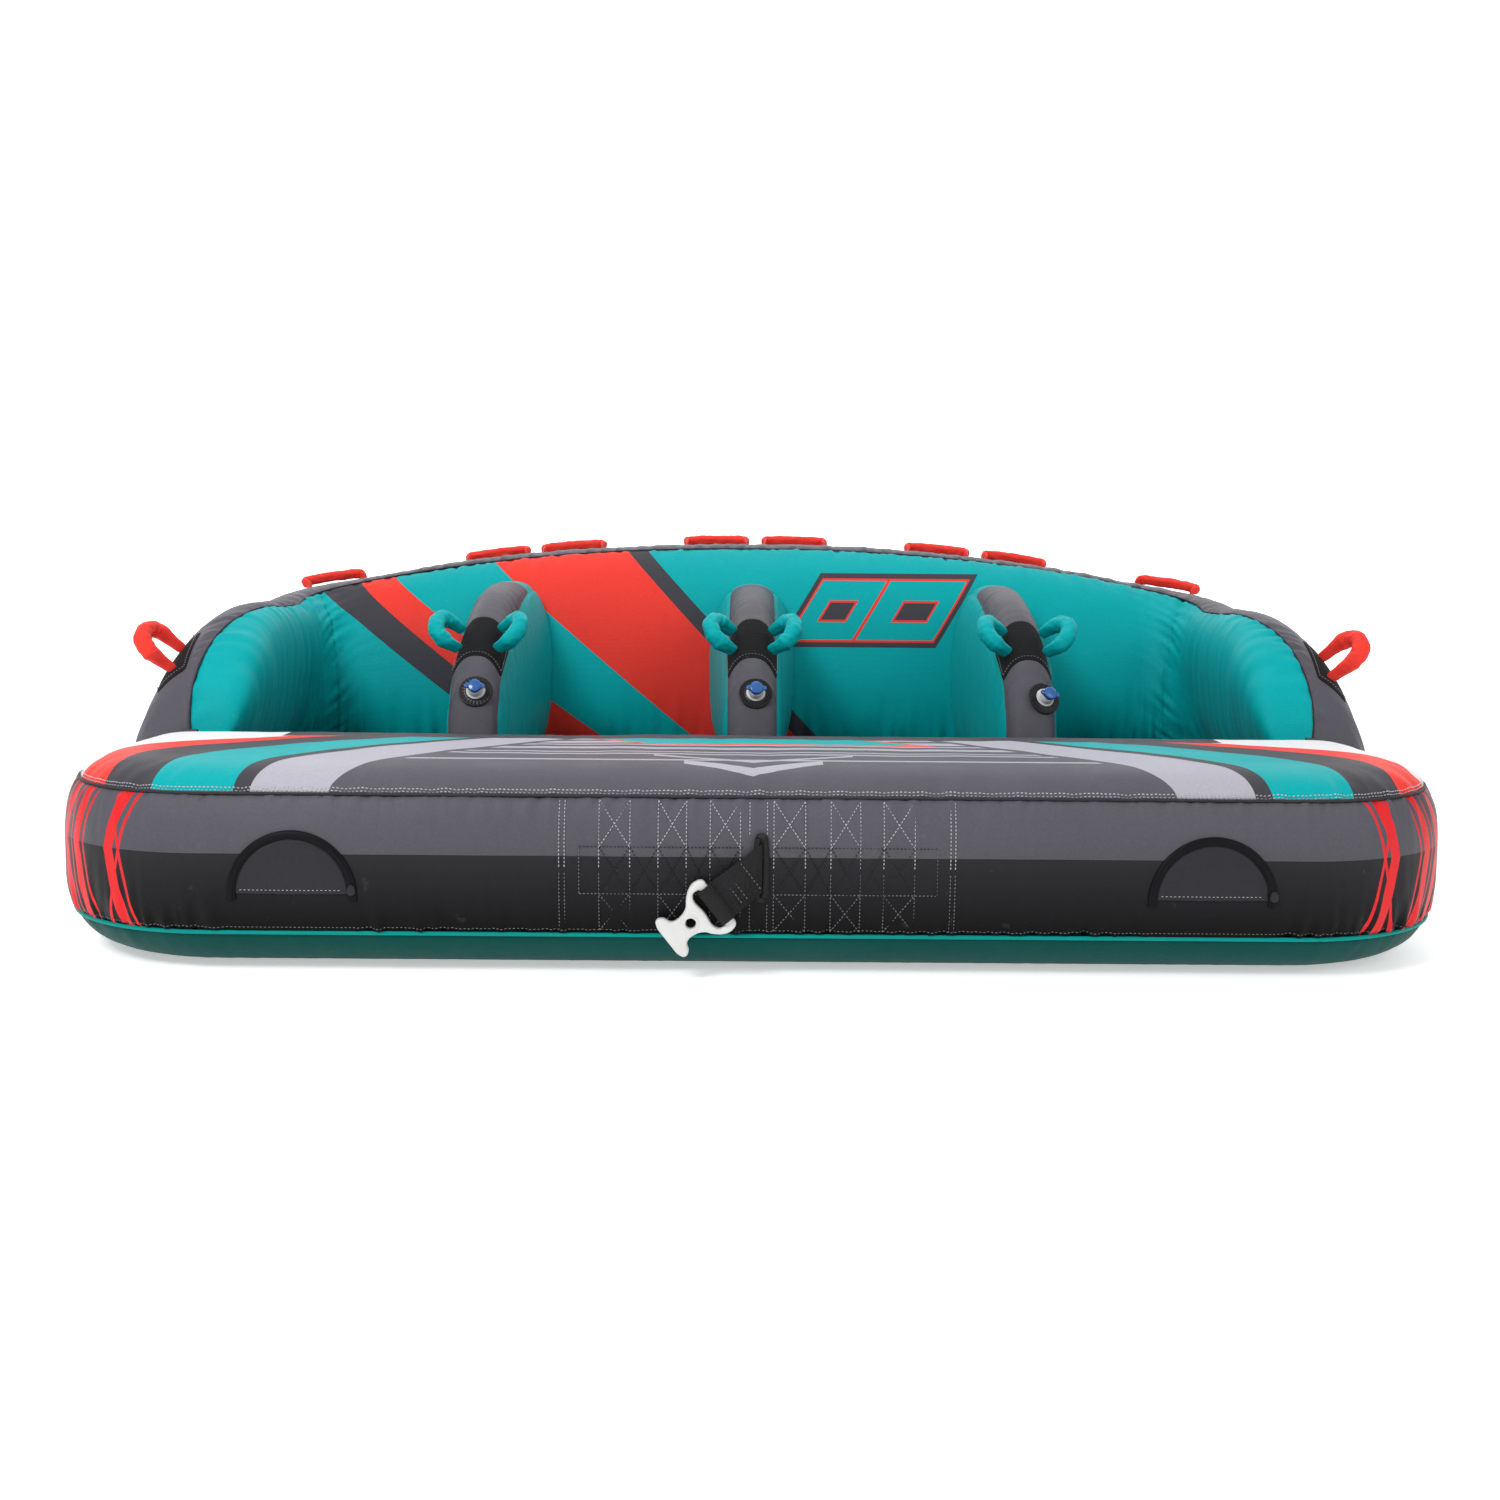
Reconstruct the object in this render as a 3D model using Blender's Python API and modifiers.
"""Four-seat sofa-style towable tube: inflated deck, backrest, dividers, handles and tow points.

Row frame in metres: the tow side faces -Y, X runs across the seats, +Z is up, and the origin is on
the ground under the middle of the tube.
"""
import math

import bmesh
import bpy
from mathutils import Matrix, Vector

GAP = 0.0003  # clearance between touching pieces

# Deck: a flat inflated cushion, thick in front and lower under the seats
DECK_WIDTH = 2.20
DECK_DEPTH = 1.50
DECK_HEIGHT = 0.306
SEAT_HEIGHT = 0.220
CORNER_RADIUS = 0.30
EDGE_ROLL = 0.15
EDGE_POWER = 3.0
TOP_SEAM_Z = 0.266
BOTTOM_SEAM_Z = 0.062
STEP_FRONT_Y = -0.285
STEP_BACK_Y = -0.208
SIDE_LEVELS = (0.095, 0.130, 0.176, 0.212, 0.242)
ROLL_LEVEL = 0.297

# Backrest: one inflated wall round the back and both arms
BACK_Y = 0.50
ARM_X = 1.05
BACK_CORNER_RADIUS = 0.22
ARM_NOSE_Y = -0.20
CREST_HEIGHT = 0.422
ARM_HEIGHT = 0.295
BACK_HALF_WIDTH = 0.15
ARM_HALF_WIDTH = 0.10
BACK_LEAN = 0.06
ARM_LEAN = -0.07
CREST_FALL_POWER = 2.2
ARM_NOSE_LENGTH = 0.36
WALL_POWER = 2.4
FOOT_SHARE = 0.42
CREST_SEAM_DEG = 108.0
NOSE_SEAM_DEG = 68.0
PANEL_SEAM_SLACK = 0.009

# Dividers between the seats
DIVIDER_X = (-0.519, 0.0, 0.519)
SIDES = ("left", "center", "right")
DIVIDER_NOSE_Y = -0.13
DIVIDER_NOSE_LENGTH = 0.50
DIVIDER_HEIGHT = 0.336
DIVIDER_FRONT_HALF_WIDTH = 0.052
DIVIDER_BACK_HALF_WIDTH = 0.090
DIVIDER_TO_BACK = 0.004
NOSE_POWER = 2.2

# Skins
COVER_THICKNESS = 0.0012
BLADDER_THICKNESS = 0.001
COVER_TO_BLADDER = 0.0036
SEAM_GAP = 0.0018
BLADDER_DEPTH = COVER_THICKNESS + COVER_TO_BLADDER

# Access flaps with their zips, on the front band
FLAP_X = 0.67
FLAP_HINGE_Z = 0.121
FLAP_RADIUS = 0.082
ZIP_WIDTH = 0.011
ZIP_PROUD = 0.002
SLIDER_SIZE = (0.010, 0.004, 0.016)
INNER_VALVE_Z = DECK_HEIGHT / 2
INNER_VALVE_FLANGE = 0.021
INNER_VALVE_THROAT = 0.013

# Inflation valves on the dividers
VALVE_FROM_NOSE = 0.036
VALVE_DEG = {"left": 84.0, "center": 85.0, "right": 67.0}
VALVE_FLANGE_RADIUS = 0.031
VALVE_FLANGE_THICKNESS = 0.003
VALVE_BODY_RADIUS = 0.014
VALVE_BODY_BORE = 0.010
VALVE_BODY_HEIGHT = 0.020
VALVE_CAP_RADIUS = 0.0125
VALVE_CAP_HEIGHT = 0.010
VALVE_HOLE = 0.0165

# Handles
PATCH_FROM_NOSE = 0.135
PATCH_SIZE = (0.092, 0.100)
PATCH_THICKNESS = 0.003
PATCH_OFF = 0.0018
HANDLE_FOOT_OFF = 0.0075
DIVIDER_HANDLE = {"span": 0.062, "rise": 0.054, "radius": 0.0155}
DIVIDER_HANDLE_DEG = 30.0
ARM_HANDLE = {"span": 0.066, "rise": 0.066, "radius": 0.0155}
ARM_HANDLE_FROM_NOSE = 0.120
ARM_HANDLE_DEG = 44.0
CREST_HANDLE = {"span": 0.130, "rise": 0.042, "radius": 0.011}
CREST_HANDLE_S = (-0.904, -0.579, -0.406, -0.081, 0.096, 0.422, 0.599, 0.902)
CREST_HANDLE_DEG = 78.0
CREST_HANDLE_TILT_DEG = -62.0

# Tow points
TOW_X = 0.012
TOW_Z = 0.166
TOW_SLOT_HALF = 0.046
TOW_SLOT_OPEN = 0.010
STRAP_WIDTH = 0.060
STRAP_THICKNESS = 0.005
STRAP_LENGTH = 0.082
STRAP_DROP_DEG = {"front": 38.0, "rear": 12.0}
STRAP_ROOT = 0.072
LOOP_RADIUS = 0.0105
LOOP_WALL = 0.0028
CONNECTOR_THICKNESS = 0.014
TOW_STAND_OFF = 0.013

MATERIALS = {
    "printed_fabric": ((0.105, 0.100, 0.125), 0.55),
    "grey_fabric": ((0.100, 0.096, 0.120), 0.55),
    "teal_fabric": ((0.0, 0.40, 0.42), 0.50),
    "red_fabric": ((0.80, 0.05, 0.035), 0.55),
    "dark_teal_fabric": ((0.0, 0.22, 0.21), 0.55),
    "bladder_pvc": ((0.04, 0.04, 0.045), 0.35),
    "black_neoprene": ((0.012, 0.012, 0.013), 0.80),
    "black_webbing": ((0.016, 0.016, 0.017), 0.70),
    "zip_tape": ((0.010, 0.010, 0.011), 0.60),
    "black_rubber": ((0.015, 0.015, 0.017), 0.40),
    "white_plastic": ((0.82, 0.82, 0.80), 0.35),
    "blue_plastic": ((0.03, 0.16, 0.55), 0.25),
}


# ---------------------------------------------------------------- scene helpers


def clear_scene():
    for old in list(bpy.data.objects):
        bpy.data.objects.remove(old, do_unlink=True)


def new_collection(name):
    collection = bpy.data.collections.new(name)
    bpy.context.scene.collection.children.link(collection)
    return collection


def material(slot):
    found = bpy.data.materials.get(slot)
    if found:
        return found
    colour, roughness = MATERIALS[slot]
    made = bpy.data.materials.new(slot)
    made.use_nodes = True
    shader = made.node_tree.nodes["Principled BSDF"]
    shader.inputs["Base Color"].default_value = (*colour, 1.0)
    shader.inputs["Roughness"].default_value = roughness
    shader.inputs["Metallic"].default_value = 0.0
    made.diffuse_color = (*colour, 1.0)
    return made


def add_object(name, data, slot):
    made = bpy.data.objects.new(name, data)
    PARTS.objects.link(made)
    data.materials.append(material(slot))
    return made


def mesh_of(bm, name):
    bmesh.ops.recalc_face_normals(bm, faces=bm.faces)
    mesh = bpy.data.meshes.new(name)
    bm.to_mesh(mesh)
    bm.free()
    return mesh


def as_mesh_object(source, name, slot):
    """Turns a curve or a modified object into a plain mesh object at the same place."""
    bpy.context.view_layer.update()
    graph = bpy.context.evaluated_depsgraph_get()
    mesh = bpy.data.meshes.new_from_object(source.evaluated_get(graph))
    placed = source.matrix_world.copy()
    bpy.data.objects.remove(source, do_unlink=True)
    bm = bmesh.new()
    bm.from_mesh(mesh)
    bmesh.ops.remove_doubles(bm, verts=bm.verts, dist=0.00002)
    bmesh.ops.recalc_face_normals(bm, faces=bm.faces)
    bm.to_mesh(mesh)
    bm.free()
    mesh.materials.clear()
    made = add_object(name, mesh, slot)
    made.matrix_world = placed
    return made


def skin(target, thickness, depth=0.0):
    """Gives an open surface a wall that starts depth inside it; a negative depth lies outside."""
    wall = target.modifiers.new("wall", "SOLIDIFY")
    wall.thickness = thickness
    wall.offset = -(1.0 + 2.0 * depth / thickness)
    wall.use_even_offset = True
    wall.use_rim = True
    return wall


def cut(target, cutter, operation="DIFFERENCE"):
    boolean = target.modifiers.new(operation.lower(), "BOOLEAN")
    boolean.operation = operation
    boolean.solver = "EXACT"
    boolean.object = cutter
    return boolean


def hide_cutter(cutter):
    for collection in cutter.users_collection:
        collection.objects.unlink(cutter)
    CUTTERS.objects.link(cutter)
    cutter.hide_render = True
    cutter.display_type = "WIRE"
    return cutter


def frame_matrix(origin, across, along, normal):
    rotation = Matrix((across, along, normal)).transposed().to_4x4()
    return Matrix.Translation(origin) @ rotation


def cylinder_cutter(name, placed, radius, depth, segments=20):
    bm = bmesh.new()
    bmesh.ops.create_cone(bm, cap_ends=True, segments=segments, radius1=radius, radius2=radius, depth=depth)
    made = bpy.data.objects.new(name, mesh_of(bm, name))
    PARTS.objects.link(made)
    made.matrix_world = placed
    return hide_cutter(made)


def box_cutter(name, placed, size):
    bm = bmesh.new()
    bmesh.ops.create_cube(bm, size=1.0)
    bmesh.ops.scale(bm, vec=size, verts=bm.verts)
    made = bpy.data.objects.new(name, mesh_of(bm, name))
    PARTS.objects.link(made)
    made.matrix_world = placed
    return hide_cutter(made)


def plate_outline(name, splines, half_thickness):
    """A flat outline, with any holes, as a filled 2D curve in its own XY plane."""
    curve = bpy.data.curves.new(name, "CURVE")
    curve.dimensions = "2D"
    curve.fill_mode = "BOTH"
    curve.extrude = half_thickness
    for points in splines:
        spline = curve.splines.new("POLY")
        spline.points.add(len(points) - 1)
        for point, (x, y) in zip(spline.points, points):
            point.co = (x, y, 0.0, 1.0)
        spline.use_cyclic_u = True
    made = bpy.data.objects.new(name, curve)
    PARTS.objects.link(made)
    return made


def arc(radius, start_deg, end_deg, steps, centre=(0.0, 0.0)):
    points = []
    for i in range(steps + 1):
        angle = math.radians(start_deg + (end_deg - start_deg) * i / steps)
        points.append((centre[0] + radius * math.cos(angle), centre[1] + radius * math.sin(angle)))
    return points


def turned(name, profile, slot, placed, segments=18):
    """A turned piece: its (radius, height) profile swept once round its own Z axis."""
    bm = bmesh.new()
    rings = []
    for radius, height in profile:
        rings.append(bm.verts.new((radius, 0.0, height)))
    for first, second in zip(rings, rings[1:]):
        bm.edges.new((first, second))
    mesh = bpy.data.meshes.new(name)
    bm.to_mesh(mesh)
    bm.free()
    made = add_object(name, mesh, slot)
    screw = made.modifiers.new("turn", "SCREW")
    screw.steps = segments
    screw.render_steps = segments
    screw.use_merge_vertices = True
    screw.merge_threshold = 0.0001
    swept = sum((a[0] + b[0]) * (b[1] - a[1]) for a, b in zip(profile, profile[1:]))
    screw.use_normal_flip = swept > 0.0
    made.matrix_world = placed
    return made


# ---------------------------------------------------------------- deck


def step_share(y):
    """0 on the raised front of the deck, 1 under the seats."""
    t = (y - STEP_FRONT_Y) / (STEP_BACK_Y - STEP_FRONT_Y)
    t = min(max(t, 0.0), 1.0)
    return t * t * (3.0 - 2.0 * t)


def edge_inset(z):
    lift = min(abs(z / (DECK_HEIGHT / 2) - 1.0), 1.0)
    return EDGE_ROLL * (1.0 - (1.0 - lift**EDGE_POWER) ** (1.0 / EDGE_POWER))


def deck_point(x, y, z):
    """Moves a point of the plain box onto the inflated deck: round corners, rolled edge, low seats."""
    core_x = DECK_WIDTH / 2 - CORNER_RADIUS
    core_y = DECK_DEPTH / 2 - CORNER_RADIUS
    s = max(abs(x) - core_x, 0.0) / CORNER_RADIUS
    t = max(abs(y) - core_y, 0.0) / CORNER_RADIUS
    radius = CORNER_RADIUS - edge_inset(z)
    out_x = math.copysign(min(abs(x), core_x) + radius * s * math.sqrt(1.0 - t * t / 2), x)
    out_y = math.copysign(min(abs(y), core_y) + radius * t * math.sqrt(1.0 - s * s / 2), y)
    low = 1.0 - (1.0 - SEAT_HEIGHT / DECK_HEIGHT) * step_share(out_y)
    return Vector((out_x, out_y, z * low))


def deck_surface(name, low_z, high_z, levels):
    """The stretch of the deck's skin between two heights, with its flat top or bottom if it reaches it."""
    bm = bmesh.new()
    bmesh.ops.create_cube(bm, size=1.0)
    bmesh.ops.scale(bm, vec=(DECK_WIDTH, DECK_DEPTH, DECK_HEIGHT), verts=bm.verts)
    bmesh.ops.translate(bm, vec=(0.0, 0.0, DECK_HEIGHT / 2), verts=bm.verts)
    core_x = DECK_WIDTH / 2 - CORNER_RADIUS
    core_y = DECK_DEPTH / 2 - CORNER_RADIUS
    cuts = []
    for share in (0.0, 0.34, 0.68):
        for sign in (-1.0, 1.0):
            cuts.append((Vector((sign * (core_x + share * CORNER_RADIUS), 0, 0)), Vector((1, 0, 0))))
            cuts.append((Vector((0, sign * (core_y + share * CORNER_RADIUS), 0)), Vector((0, 1, 0))))
    for y in (STEP_FRONT_Y, (STEP_FRONT_Y + STEP_BACK_Y) / 2, STEP_BACK_Y):
        cuts.append((Vector((0, y, 0)), Vector((0, 1, 0))))
    for z in (low_z, *levels, high_z):
        cuts.append((Vector((0, 0, z)), Vector((0, 0, 1))))
    for place, direction in cuts:
        everything = [*bm.verts, *bm.edges, *bm.faces]
        bmesh.ops.bisect_plane(bm, geom=everything, dist=1e-7, plane_co=place, plane_no=direction)
    outside = []
    for face in bm.faces:
        middle = face.calc_center_median().z
        if middle < low_z - 1e-6 or middle > high_z + 1e-6:
            outside.append(face)
    bmesh.ops.delete(bm, geom=outside, context="FACES")
    for vert in bm.verts:
        vert.co = deck_point(*vert.co)
    return mesh_of(bm, name)


def front_placement(x, z, depth=0.0, rear=False):
    """Frame on the front or rear band: its Z axis points out of the deck, its Y axis up."""
    side = 1.0 if rear else -1.0
    origin = Vector((x, side * (DECK_DEPTH / 2 - depth), z))
    return frame_matrix(origin, Vector((-side, 0, 0)), Vector((0, 0, 1)), Vector((0, side, 0)))


def build_deck():
    top = add_object("deck_top_cover", deck_surface("top", TOP_SEAM_Z + SEAM_GAP / 2, DECK_HEIGHT, (ROLL_LEVEL,)),
                     "printed_fabric")
    skin(top, COVER_THICKNESS)
    band = add_object("deck_side_band",
                      deck_surface("band", BOTTOM_SEAM_Z + SEAM_GAP / 2, TOP_SEAM_Z - SEAM_GAP / 2, SIDE_LEVELS),
                      "grey_fabric")
    skin(band, COVER_THICKNESS)
    bottom = add_object("deck_bottom_cover", deck_surface("bottom", 0.0, BOTTOM_SEAM_Z - SEAM_GAP / 2, ()),
                        "dark_teal_fabric")
    skin(bottom, COVER_THICKNESS)
    levels = (BOTTOM_SEAM_Z, *SIDE_LEVELS, TOP_SEAM_Z, ROLL_LEVEL)
    bladder = add_object("deck_bladder", deck_surface("bladder", 0.0, DECK_HEIGHT, levels), "bladder_pvc")
    skin(bladder, BLADDER_THICKNESS, BLADDER_DEPTH)
    return band, bladder


# ---------------------------------------------------------------- backrest and dividers


def wall_point(angle, half_width, height, lean):
    """Outline of an inflated wall: (across, up) at an angle, with its foot at up = 0."""
    c = math.cos(angle)
    s = math.sin(angle)
    across = half_width * math.copysign(abs(c) ** (2.0 / WALL_POWER), c)
    up = height * (FOOT_SHARE + (1.0 - FOOT_SHARE) * math.copysign(abs(s) ** (2.0 / WALL_POWER), s))
    return across + lean * up / height, up


def foot_angle():
    """How far below the horizontal the wall's outline goes before its flat foot."""
    return math.asin((FOOT_SHARE / (1.0 - FOOT_SHARE)) ** (WALL_POWER / 2.0))


def wall_angles(start, end, steps):
    return [start + (end - start) * i / steps for i in range(steps + 1)]


def arm_end():
    """Distance along the back's centre line from the middle to an arm's nose."""
    return ARM_X - BACK_CORNER_RADIUS * (2.0 - math.pi / 2) + BACK_Y - ARM_NOSE_Y


def back_path(s):
    """Plan position, outward direction and turn at distance s from the middle of the back."""
    side = math.copysign(1.0, s)
    run = abs(s)
    straight = ARM_X - BACK_CORNER_RADIUS
    corner = BACK_CORNER_RADIUS * math.pi / 2
    turn = min(max((run - straight) / BACK_CORNER_RADIUS, 0.0), math.pi / 2)
    x = min(run, straight) + BACK_CORNER_RADIUS * math.sin(turn)
    y = BACK_Y - BACK_CORNER_RADIUS * (1.0 - math.cos(turn)) - max(run - straight - corner, 0.0)
    return side * x, y, Vector((side * math.sin(turn), math.cos(turn), 0.0)), turn


def nose_share(distance, length, power):
    """Rounds an end off: 0 at the tip, 1 at length from it and beyond."""
    t = min(max(1.0 - distance / length, 0.0), 1.0)
    return (1.0 - t**power) ** (1.0 / power)


def back_point(s, angle):
    x, y, outward, turn = back_path(s)
    to_arm = math.sin(turn) ** 2
    distance = arm_end() - abs(s)
    low = min(abs(x) / ARM_X, 1.0) ** CREST_FALL_POWER
    height = CREST_HEIGHT + (ARM_HEIGHT - CREST_HEIGHT) * low
    height *= nose_share(distance, ARM_NOSE_LENGTH, NOSE_POWER)
    half_width = BACK_HALF_WIDTH + (ARM_HALF_WIDTH - BACK_HALF_WIDTH) * to_arm
    half_width *= nose_share(distance, ARM_NOSE_LENGTH / 2, 3.5)
    lean = BACK_LEAN + (ARM_LEAN - BACK_LEAN) * to_arm
    across, up = wall_point(angle, half_width, height, lean)
    return Vector((x, y, SEAT_HEIGHT + GAP + up)) + outward * across


def back_stations():
    straight = ARM_X - BACK_CORNER_RADIUS
    corner = BACK_CORNER_RADIUS * math.pi / 2
    half = [straight * i / 3 for i in range(1, 4)]
    half += [straight + corner * i / 3 for i in range(1, 4)]
    end = arm_end()
    half += [end - ARM_NOSE_LENGTH * share for share in (0.75, 0.45, 0.22, 0.08, 0.015)]
    return [-s for s in reversed(half)] + [0.0] + half


def divider_point(x, distance, angle):
    """Skin of a divider at a distance behind its nose; it stops just short of the backrest."""
    share = min(distance / DIVIDER_NOSE_LENGTH, 1.0)
    height = DIVIDER_HEIGHT * nose_share(distance, DIVIDER_NOSE_LENGTH, NOSE_POWER)
    flare = DIVIDER_FRONT_HALF_WIDTH + (DIVIDER_BACK_HALF_WIDTH - DIVIDER_FRONT_HALF_WIDTH) * share**2.5
    half_width = flare * nose_share(distance, DIVIDER_NOSE_LENGTH / 4, 3.5)
    across, up = wall_point(angle, half_width, height, 0.0)
    y = min(DIVIDER_NOSE_Y + distance, back_front_y(x + across, up) - DIVIDER_TO_BACK)
    return Vector((x + across, y, SEAT_HEIGHT + GAP + up))


def back_front_y(x, up):
    """Y of the backrest's front face over x, at a height above the seat."""
    best = 1.0
    for angle in wall_angles(math.radians(90.0), math.pi + foot_angle(), 60):
        point = back_point(x, angle)
        if abs(point.z - SEAT_HEIGHT - GAP - up) < 0.012:
            best = min(best, point.y)
    return best


def lattice(rows, close_foot, cap_first, cap_last):
    """Joins rows of equal length into a skin, with a flat foot and strip-shaped end caps if wanted."""
    bm = bmesh.new()
    verts = [[bm.verts.new(point) for point in row] for row in rows]
    count = len(verts[0])
    for row, following in zip(verts, verts[1:]):
        for i in range(count - 1):
            bm.faces.new((row[i], row[i + 1], following[i + 1]))
            bm.faces.new((row[i], following[i + 1], following[i]))
        if close_foot:
            bm.faces.new((row[-1], row[0], following[0], following[-1]))
    ends = []
    if cap_first:
        ends.append(verts[0])
    if cap_last:
        ends.append(verts[-1])
    for ring in ends:
        for i in range((count - 1) // 2):
            corners = [ring[i], ring[i + 1], ring[count - 2 - i], ring[count - 1 - i]]
            if corners[1] is corners[2]:
                corners.pop(2)
            bm.faces.new(corners)
    return bm


def panel_seam(s):
    """Angle of the seam between the front and outer panels: it crosses to the outside at the noses."""
    to_nose = min(max(1.0 - (arm_end() - abs(s)) / ARM_NOSE_LENGTH, 0.0), 1.0)
    return math.radians(CREST_SEAM_DEG + (NOSE_SEAM_DEG - CREST_SEAM_DEG) * to_nose)


def outer_panel_angles(s, slack=0.0):
    return wall_angles(-foot_angle(), panel_seam(s) - slack, 7)


def front_panel_angles(s, slack=0.0):
    return wall_angles(panel_seam(s) + slack, math.pi + foot_angle(), 5)


def divider_rows(x):
    """Rows of the divider's skin, from its nose to just past the backrest's face."""
    shares = (0.012, 0.05, 0.13, 0.26, 0.45, 0.70, 0.90, 1.12)
    angles = wall_angles(-foot_angle(), math.pi + foot_angle(), 10)
    return [[divider_point(x, DIVIDER_NOSE_LENGTH * share, a) for a in angles] for share in shares]


def build_backrest():
    slack = PANEL_SEAM_SLACK
    rows = [[back_point(s, a) for a in front_panel_angles(s, slack)] for s in back_stations()]
    front = add_object("backrest_front_cover", mesh_of(lattice(rows, False, False, False), "front"),
                       "teal_fabric")
    rows = [[back_point(s, a) for a in outer_panel_angles(s, slack)] for s in back_stations()]
    outer = add_object("backrest_outer_cover", mesh_of(lattice(rows, False, False, False), "outer"),
                       "grey_fabric")
    rows = []
    for s in back_stations():
        rows.append([back_point(s, a) for a in outer_panel_angles(s) + front_panel_angles(s)[1:]])
    bladder = add_object("backrest_bladder", mesh_of(lattice(rows, True, True, True), "back"), "bladder_pvc")
    for panel in (front, outer):
        skin(panel, COVER_THICKNESS)
    orient_outward(front, Vector((0.0, 0.0, 0.3)), inner_side=True)
    orient_outward(outer, Vector((0.0, 0.0, 0.3)), inner_side=False)
    skin(bladder, BLADDER_THICKNESS, BLADDER_DEPTH)
    return outer, bladder


def orient_outward(target, towards, inner_side):
    """Turns an open panel's faces away from the inside of its own wall."""
    mesh = target.data
    middle = max(mesh.polygons, key=lambda face: face.area)
    out = (middle.center - towards)
    facing_out = middle.normal.dot(Vector((out.x, out.y, 0.0))) > 0.0
    if facing_out == inner_side:
        mesh.flip_normals()


def facet_frame(first_s, second_s, first_angle, second_angle):
    """Frame on the middle of one flat facet of the backrest's skin."""
    a = back_point(first_s, first_angle)
    b = back_point(second_s, first_angle)
    c = back_point(second_s, second_angle)
    d = back_point(first_s, second_angle)
    along = (b + c - a - d).normalized()
    up = (c + d - a - b).normalized()
    normal = up.cross(along).normalized()
    if normal.y < 0.0:
        normal = -normal
    return (a + b + c + d) / 4, up.cross(normal).normalized(), up, normal


def build_back_valve(cover, bladder):
    """Flush valve of the backrest's bladder, reached through a round hole low in the rear cover."""
    step = (math.radians(CREST_SEAM_DEG) + foot_angle()) / 7
    spacing = (ARM_X - BACK_CORNER_RADIUS) / 3
    here, across, up, normal = facet_frame(0.0, spacing, step - foot_angle(), 2 * step - foot_angle())
    placed = frame_matrix(here, across, up, normal)
    cut(cover, cylinder_cutter("back_valve_window", placed, INNER_VALVE_FLANGE + 0.003, 0.02))
    build_inner_valve("backrest_valve", placed, bladder)


def build_divider(side, x):
    rows = divider_rows(x)
    cover_bm = lattice(rows, False, True, False)
    cover = add_object("divider_cover_" + side, mesh_of(cover_bm, "cover"), "grey_fabric")
    bladder_bm = lattice(rows, True, True, True)
    bladder = add_object("divider_bladder_" + side, mesh_of(bladder_bm, "bladder"), "bladder_pvc")
    skin(cover, COVER_THICKNESS)
    skin(bladder, BLADDER_THICKNESS, BLADDER_DEPTH)
    return cover, bladder


def frame_on(point_at, u, v, step=0.002):
    """Frame on a skin: across, along and outward normal at (u, v)."""
    here = point_at(u, v)
    along = (point_at(u + step, v) - point_at(u - step, v)).normalized()
    around = (point_at(u, v - 0.02) - point_at(u, v + 0.02)).normalized()
    normal = around.cross(along).normalized()
    across = along.cross(normal).normalized()
    return here, across, along, normal


# ---------------------------------------------------------------- valves


def build_valve(side, x, cover, bladder):
    """Boston valve low on a divider's nose: rubber flange, threaded body and a winged cap."""
    here, across, along, normal = frame_on(lambda d, a: divider_point(x, d, a), VALVE_FROM_NOSE,
                                           math.radians(VALVE_DEG[side]))
    placed = frame_matrix(here, across, along, normal)
    hole = cylinder_cutter("valve_hole_" + side, placed, VALVE_HOLE, 0.05)
    cut(cover, hole)
    cut(bladder, hole)
    lift = Matrix.Translation((0.0, 0.0, GAP))
    thick = VALVE_FLANGE_THICKNESS
    flange = [(VALVE_HOLE - 0.001, 0.0), (VALVE_FLANGE_RADIUS, 0.0), (VALVE_FLANGE_RADIUS - 0.001, thick),
              (VALVE_HOLE - 0.001, thick)]
    turned("valve_flange_" + side, flange + flange[:1], "black_rubber", placed @ lift)
    top = VALVE_BODY_HEIGHT
    bore = VALVE_BODY_BORE
    body = [(0.0, -0.012), (VALVE_BODY_RADIUS, -0.012), (VALVE_BODY_RADIUS, top), (bore, top), (bore, 0.004),
            (0.0, 0.004)]
    turned("valve_body_" + side, body, "white_plastic", placed)
    build_valve_cap(side, placed @ Matrix.Translation((0.0, 0.0, top + GAP)))


def build_valve_cap(side, placed):
    """A round cap with two wings to turn it by, drawn from above and given its thickness."""
    outline = arc(VALVE_CAP_RADIUS, 20, 160, 6)
    outline += [(-0.019, 0.004), (-0.019, -0.004)]
    outline += arc(VALVE_CAP_RADIUS, 200, 340, 6)
    outline += [(0.019, -0.004), (0.019, 0.004)]
    cap = plate_outline("cap_outline", [outline], VALVE_CAP_HEIGHT / 2)
    cap.matrix_world = placed @ Matrix.Translation((0.0, 0.0, VALVE_CAP_HEIGHT / 2))
    as_mesh_object(cap, "valve_cap_" + side, "blue_plastic")


def build_inner_valve(name, placed, bladder):
    """Flush valve set into a bladder: a thin flange outside it and a throat into it."""
    hole = cylinder_cutter(name + "_hole", placed, INNER_VALVE_THROAT + GAP, 0.02)
    cut(bladder, hole)
    lift = -BLADDER_DEPTH + GAP
    profile = [(0.0, lift), (INNER_VALVE_FLANGE, lift), (INNER_VALVE_FLANGE, lift + 0.0008),
               (0.0, lift + 0.0008)]
    throat = [(0.0, -0.026), (INNER_VALVE_THROAT, -0.026), (INNER_VALVE_THROAT, lift)]
    turned(name, throat + profile[1:], "black_rubber", placed, 16)


# ---------------------------------------------------------------- flaps and zips


def half_disc(radius, foot=0.0):
    """A D lying on its straight side, which reaches foot below the arc's centre."""
    outline = arc(radius, 0, 180, 16)
    if foot > 0.0:
        outline += [(-radius, -foot), (radius, -foot)]
    return outline


def half_ring(inner, outer):
    return arc(outer, 0, 180, 16) + arc(inner, 180, 0, 16)


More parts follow.
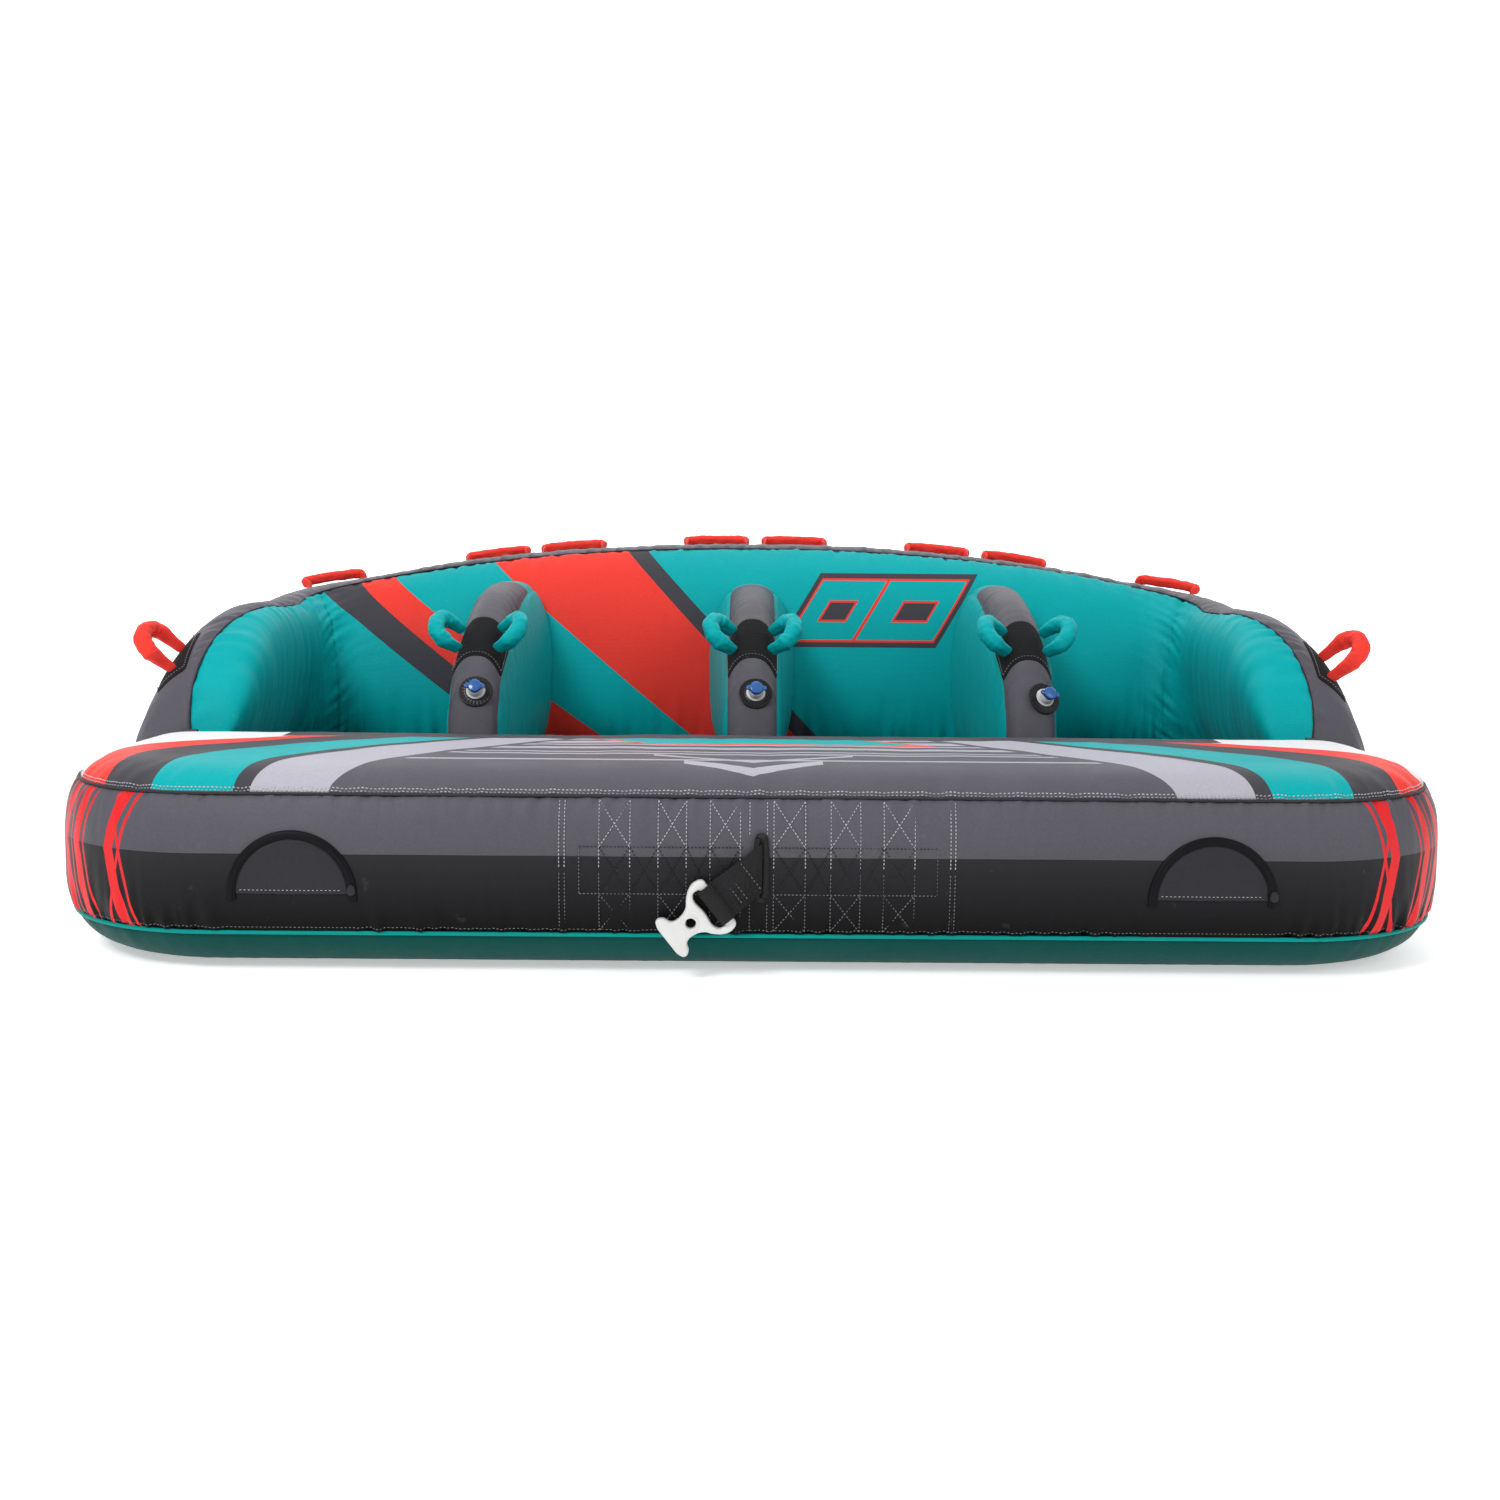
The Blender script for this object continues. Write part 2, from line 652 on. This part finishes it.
def prism(name, outline, placed, half_depth):
    made = as_mesh_object(plate_outline(name + "_outline", [outline], half_depth), name, "zip_tape")
    made.matrix_world = placed
    made.data.materials.clear()
    return hide_cutter(made)


def build_flap(side, x, band, bladder):
    """D-shaped flap over a deck valve: it opens downwards on its straight edge once unzipped."""
    placed = front_placement(x, FLAP_HINGE_Z)
    opening = FLAP_RADIUS + ZIP_WIDTH + GAP
    cut(band, prism("flap_opening_" + side, half_disc(opening, GAP), placed, 0.03))
    flap = add_object("access_flap_" + side, front_strip(x, "flap"), "grey_fabric")
    skin(flap, COVER_THICKNESS)
    cut(flap, prism("flap_shape_" + side, half_disc(FLAP_RADIUS), placed, 0.03), "INTERSECT")
    tape = add_object("flap_zip_" + side, front_strip(x, "tape"), "zip_tape")
    skin(tape, COVER_THICKNESS + ZIP_PROUD, -ZIP_PROUD)
    ring = half_ring(FLAP_RADIUS + GAP, FLAP_RADIUS + ZIP_WIDTH)
    cut(tape, prism("zip_shape_" + side, ring, placed, 0.03), "INTERSECT")
    build_slider(side, x)
    build_inner_valve("deck_valve_" + side, front_placement(x, INNER_VALVE_Z), bladder)


def front_strip(x, name):
    """The stretch of the front band's skin that a flap and its zip are cut from."""
    reach = FLAP_RADIUS + ZIP_WIDTH + 0.01
    low = FLAP_HINGE_Z - 0.01
    levels = [low] + [z for z in SIDE_LEVELS if z > low] + [TOP_SEAM_Z]
    bm = bmesh.new()
    rows = []
    for z in levels:
        y = -DECK_DEPTH / 2 + edge_inset(z)
        rows.append([bm.verts.new((x - reach, y, z)), bm.verts.new((x + reach, y, z))])
    for (a, b), (c, d) in zip(rows, rows[1:]):
        bm.faces.new((a, b, d, c))
    mesh = bpy.data.meshes.new(name)
    bm.to_mesh(mesh)
    bm.free()
    return mesh


def build_slider(side, x):
    """Zip slider, closed at the right-hand end of the arc; its origin is the arc's centre."""
    bm = bmesh.new()
    bmesh.ops.create_cube(bm, size=1.0)
    bmesh.ops.scale(bm, vec=SLIDER_SIZE, verts=bm.verts)
    bmesh.ops.bevel(bm, geom=[*bm.edges], offset=0.001, segments=1, affect="EDGES")
    along = FLAP_RADIUS + ZIP_WIDTH / 2
    out = -(ZIP_PROUD + GAP + SLIDER_SIZE[1] / 2)
    bmesh.ops.translate(bm, vec=(along, out, SLIDER_SIZE[2] / 2 + 0.001), verts=bm.verts)
    slider = add_object("zip_slider_" + side, mesh_of(bm, "slider"), "black_rubber")
    slider.location = (x, -DECK_DEPTH / 2, FLAP_HINGE_Z)


# ---------------------------------------------------------------- handles


def build_handle(name, slot, origin, axis, out, size):
    """Padded loop sewn down at both ends; its origin is on the line through its feet."""
    span, rise, radius = size["span"], size["rise"], size["radius"]
    curve = bpy.data.curves.new(name, "CURVE")
    curve.dimensions = "3D"
    curve.bevel_depth = radius
    curve.bevel_resolution = 1
    curve.use_fill_caps = True
    shares = (0.0, 0.055, 0.16, 0.32, 0.5, 0.68, 0.84, 0.945, 1.0)
    thickness = (0.32, 0.5, 1.0, 1.0, 1.0, 1.0, 1.0, 0.5, 0.32)
    spline = curve.splines.new("POLY")
    spline.points.add(len(shares) - 1)
    for point, share, wide in zip(spline.points, shares, thickness):
        angle = math.pi * share
        along = -math.cos(angle) * span / 2 * (1.0 + 0.35 * math.sin(angle))
        point.co = (along, rise * math.sin(angle) ** 0.75, 0.0, 1.0)
        point.radius = wide
    made = bpy.data.objects.new(name + "_curve", curve)
    PARTS.objects.link(made)
    third = axis.cross(out).normalized()
    made.matrix_world = frame_matrix(origin, axis, out, third)
    return as_mesh_object(made, name, slot)


def build_patch(name, surface_mesh, placed, size):
    """Neoprene patch that lies on a skin: the skin's own shape, raised and trimmed to a rectangle."""
    patch = add_object(name, surface_mesh, "black_neoprene")
    skin(patch, PATCH_THICKNESS, -PATCH_THICKNESS - PATCH_OFF)
    cutter = box_cutter(name + "_shape", placed, (size[0], size[1], 0.11))
    cut(patch, cutter, "INTERSECT")
    return patch


def tilt(vector, axis, degrees):
    return Matrix.Rotation(math.radians(degrees), 3, axis) @ vector


def build_divider_handles(side, x):
    """A patch over the divider's ridge with one loop on each side of it."""
    here, across, along, normal = frame_on(lambda d, a: divider_point(x, d, a), PATCH_FROM_NOSE,
                                           math.pi / 2)
    rows = [row[2:-2] for row in divider_rows(x)[1:6]]
    surface = mesh_of(lattice(rows, False, False, False), "patch")
    make_normals_follow(surface, normal)
    build_patch("handle_patch_" + side, surface, frame_matrix(here, across, along, normal), PATCH_SIZE)
    for sign, which in ((-1.0, "a"), (1.0, "b")):
        angle = math.pi / 2 - sign * math.radians(DIVIDER_HANDLE_DEG)
        foot, _, run, out = frame_on(lambda d, a: divider_point(x, d, a), PATCH_FROM_NOSE, angle)
        origin = foot + out * (PATCH_THICKNESS + HANDLE_FOOT_OFF)
        build_handle("divider_handle_%s_%s" % (side, which), "teal_fabric", origin, run, out, DIVIDER_HANDLE)


def make_normals_follow(mesh, normal):
    total = sum((face.normal * face.area for face in mesh.polygons), Vector())
    if total.dot(normal) < 0.0:
        mesh.flip_normals()


def build_arm_handle(side, sign):
    """A patch and one loop on the shoulder of an arm."""
    s = sign * (arm_end() - ARM_HANDLE_FROM_NOSE)
    angle = math.radians(ARM_HANDLE_DEG)
    here, across, along, normal = frame_on(back_point, s, angle)
    stations = [station for station in back_stations() if sign * station > arm_end() - 0.30]
    rows = [[back_point(station, a) for a in outer_panel_angles(station)] for station in stations]
    surface = mesh_of(lattice(rows, False, False, False), "patch")
    if normal.z < 0.0:
        normal = -normal
    make_normals_follow(surface, normal)
    placed = frame_matrix(here, along.cross(normal), along, normal)
    build_patch("arm_patch_" + side, surface, placed, (0.062, 0.100))
    origin = here + normal * (PATCH_THICKNESS + HANDLE_FOOT_OFF)
    build_handle("arm_handle_" + side, "red_fabric", origin, along, normal, ARM_HANDLE)


def build_crest_handles():
    for index, s in enumerate(CREST_HANDLE_S, start=1):
        here, _, along, normal = frame_on(back_point, s, math.radians(CREST_HANDLE_DEG))
        if normal.z < 0.0:
            normal = -normal
        origin = here + normal * (HANDLE_FOOT_OFF - 0.002)
        out = tilt(normal, along, CREST_HANDLE_TILT_DEG)
        build_handle("crest_handle_%d" % index, "red_fabric", origin, along, out, CREST_HANDLE)


# ---------------------------------------------------------------- tow points


def build_tow_point(end, rear, band):
    """Slot with a bound edge in the band, a folded strap out of it, and a plastic connector."""
    slot = front_placement(TOW_X, TOW_Z, 0.0, rear)
    if rear:
        slot = front_placement(-TOW_X, TOW_Z * SEAT_HEIGHT / DECK_HEIGHT, 0.0, True)
    size = (TOW_SLOT_OPEN, 2 * TOW_SLOT_HALF, 0.06)
    cut(band, box_cutter("tow_slot_" + end, slot, size))
    rim = 0.003
    inner = [(-0.004, -0.043), (0.004, -0.043), (0.004, 0.043), (-0.004, 0.043)]
    outer = []
    for px, py in inner:
        outer.append((px + math.copysign(rim, px), py + math.copysign(rim, py)))
    frame = plate_outline("binding_outline", [outer, inner], 0.001)
    frame.matrix_world = slot @ Matrix.Translation((0.0, 0.0, 0.0015))
    as_mesh_object(frame, "slot_binding_" + end, "black_webbing")
    build_strap(end, slot)


def build_strap(end, slot):
    """Webbing strap: hinged at the slot, folded over at its end round the connector's bar."""
    level = slot @ Matrix.Translation((0.0, 0.0, TOW_STAND_OFF))
    drop = math.radians(180.0 + STRAP_DROP_DEG[end])
    lie = level @ Matrix.Rotation(drop, 4, "Z")
    run = Vector((math.cos(drop), math.sin(drop)))
    wide = Vector((-run.y, run.x)) * STRAP_WIDTH / 2
    reach = run * (STRAP_LENGTH - LOOP_RADIUS - LOOP_WALL / 2)
    root = STRAP_ROOT / 2
    outline = [(0.0, root), (0.0, -root), tuple(reach + wide), tuple(reach - wide)]
    plate = plate_outline("strap_plate", [outline], STRAP_THICKNESS / 2)
    plate.matrix_world = level
    strap = as_mesh_object(plate, "tow_strap_" + end, "black_webbing")
    outside = LOOP_RADIUS + LOOP_WALL
    centre = (STRAP_LENGTH, 0.0)
    fold = plate_outline("strap_fold", [arc(outside, 0, 340, 17, centre), arc(LOOP_RADIUS, 0, 336, 14, centre)],
                         STRAP_WIDTH / 2)
    fold.matrix_world = lie @ Matrix.Rotation(math.radians(90.0), 4, "X")
    cut(strap, hide_cutter(as_mesh_object(fold, "strap_fold_" + end, "black_webbing")), "UNION")
    build_connector(end, lie @ Matrix.Translation((STRAP_LENGTH, 0.0, 0.0)))


def build_connector(end, placed):
    """Anchor-shaped quick connector: bar inside the strap's loop, round eye, flared end."""
    half = [(-0.0062, 0.040), (0.004, 0.046), (0.016, 0.045), (0.030, 0.034), (0.040, 0.021),
            (0.058, 0.017), (0.069, 0.020), (0.074, 0.033), (0.084, 0.035), (0.090, 0.026)]
    outline = half + [(x, -y) for x, y in reversed(half)]
    window = [(0.0062, 0.0325), (0.0062, -0.0325), (0.0215, -0.0325), (0.0215, 0.0325)]
    eye = arc(0.0078, 0, 345, 15, (0.047, 0.0))
    plate = plate_outline("connector_outline", [outline, window, eye], CONNECTOR_THICKNESS / 2)
    plate.matrix_world = placed
    as_mesh_object(plate, "tow_connector_" + end, "white_plastic")


def build_side_tab():
    """Short webbing tab that lies on the deck in front of the right arm."""
    outline = [(-0.026, -0.011), (0.026, -0.011), (0.026, 0.011), (-0.026, 0.011)]
    tab = plate_outline("tab_outline", [outline], 0.0012)
    place = Vector((0.90, -0.105, SEAT_HEIGHT + GAP + 0.0012))
    tab.matrix_world = Matrix.Translation(place)
    as_mesh_object(tab, "side_tab", "black_webbing")


clear_scene()
PARTS = new_collection("towable_tube")
CUTTERS = new_collection("cutters")
side_band, deck_bladder = build_deck()
outer_cover, back_bladder = build_backrest()
build_back_valve(outer_cover, back_bladder)
for side_name, divider_x in zip(SIDES, DIVIDER_X):
    divider_cover, divider_bladder = build_divider(side_name, divider_x)
    build_valve(side_name, divider_x, divider_cover, divider_bladder)
    build_divider_handles(side_name, divider_x)
for side_name, side_sign in (("left", -1.0), ("right", 1.0)):
    build_flap(side_name, side_sign * FLAP_X, side_band, deck_bladder)
    build_arm_handle(side_name, side_sign)
build_crest_handles()
build_tow_point("front", False, side_band)
build_tow_point("rear", True, side_band)
build_side_tab()
CUTTERS.hide_render = True
